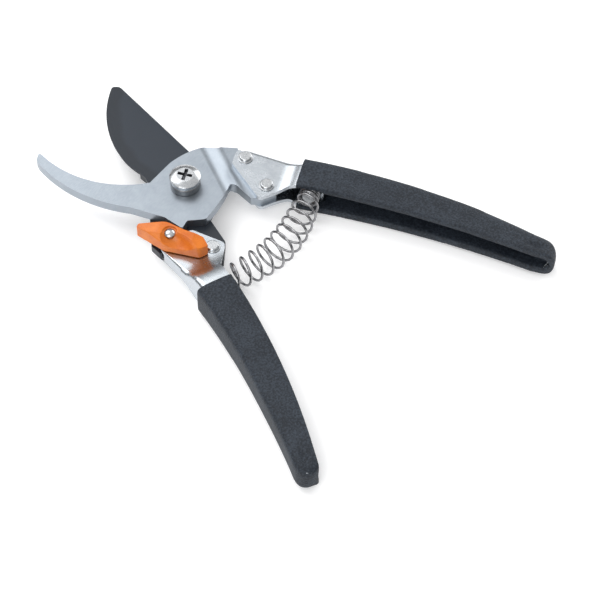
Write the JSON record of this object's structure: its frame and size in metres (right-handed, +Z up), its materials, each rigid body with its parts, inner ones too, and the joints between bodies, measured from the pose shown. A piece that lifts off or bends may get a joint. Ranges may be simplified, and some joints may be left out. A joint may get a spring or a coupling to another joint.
{
  "type": "pruning shears",
  "caption": "Bypass pruning shears with a curved cutting blade, a hooked counter blade, pressed channel handles with vinyl grips, a return spring and a swinging thumb latch.",
  "frame": {"origin": "on the pivot bolt's axis, in the plane that the tool lies on when it is set down flat", "axes": "+Z up along the pivot bolt, +X from the pivot to the blades along the line that halves the opening, +Y towards the hooked blade's side"},
  "size_m": [0.185, 0.1376, 0.0192],
  "materials": {
    "hook_steel": "satin, brushed across the plate",
    "coated_blade": "dark low-friction coating, satin",
    "handle_steel": "nickel plated, bright",
    "vinyl": "fine sandy matte, dipped",
    "rivet_steel": "bright",
    "bolt_steel": "zinc plated, bright",
    "spring_steel": "drawn wire",
    "latch_plastic": "orange, semi-gloss, moulded"
  },
  "bodies": {
    "hook_side": {"hook_blade": "hook_steel", "hook_handle": "handle_steel", "hook_grip": "vinyl", "hook_rivets": "rivet_steel", "pivot_bolt": "bolt_steel", "pivot_lock_washer": "bolt_steel", "pivot_spacer_washer": "bolt_steel", "pivot_bush": "bolt_steel", "pivot_lower_washer": "bolt_steel", "pivot_nut": "bolt_steel", "hook_spring_bracket": "handle_steel", "hook_spring_stud": "rivet_steel", "return_spring": "spring_steel"},
    "blade_side": {"cutting_blade": "coated_blade", "blade_handle": "handle_steel", "blade_grip": "vinyl", "blade_rivet": "rivet_steel", "latch_pin": "rivet_steel", "latch_washer": "rivet_steel", "blade_spring_bracket": "handle_steel", "blade_spring_stud": "rivet_steel"},
    "latch": {"latch_lever": "latch_plastic"}
  },
  "joints": [
    {"name": "pivot", "type": "hinge", "parent": "hook_side", "child": "blade_side", "pos_m": [0, 0, 0], "axis": [0, 0, 1], "range_deg": [0, 46], "stiffness_Nm_per_rad": 1, "springref_deg": -17.19, "deforming": ["return_spring"]},
    {"name": "latch_turn", "type": "hinge", "parent": "blade_side", "child": "latch", "pos_m": [-0.01214, 0.02362, 0.0144], "axis": [0, 0, -1], "range_deg": [0, 43]}
  ]
}
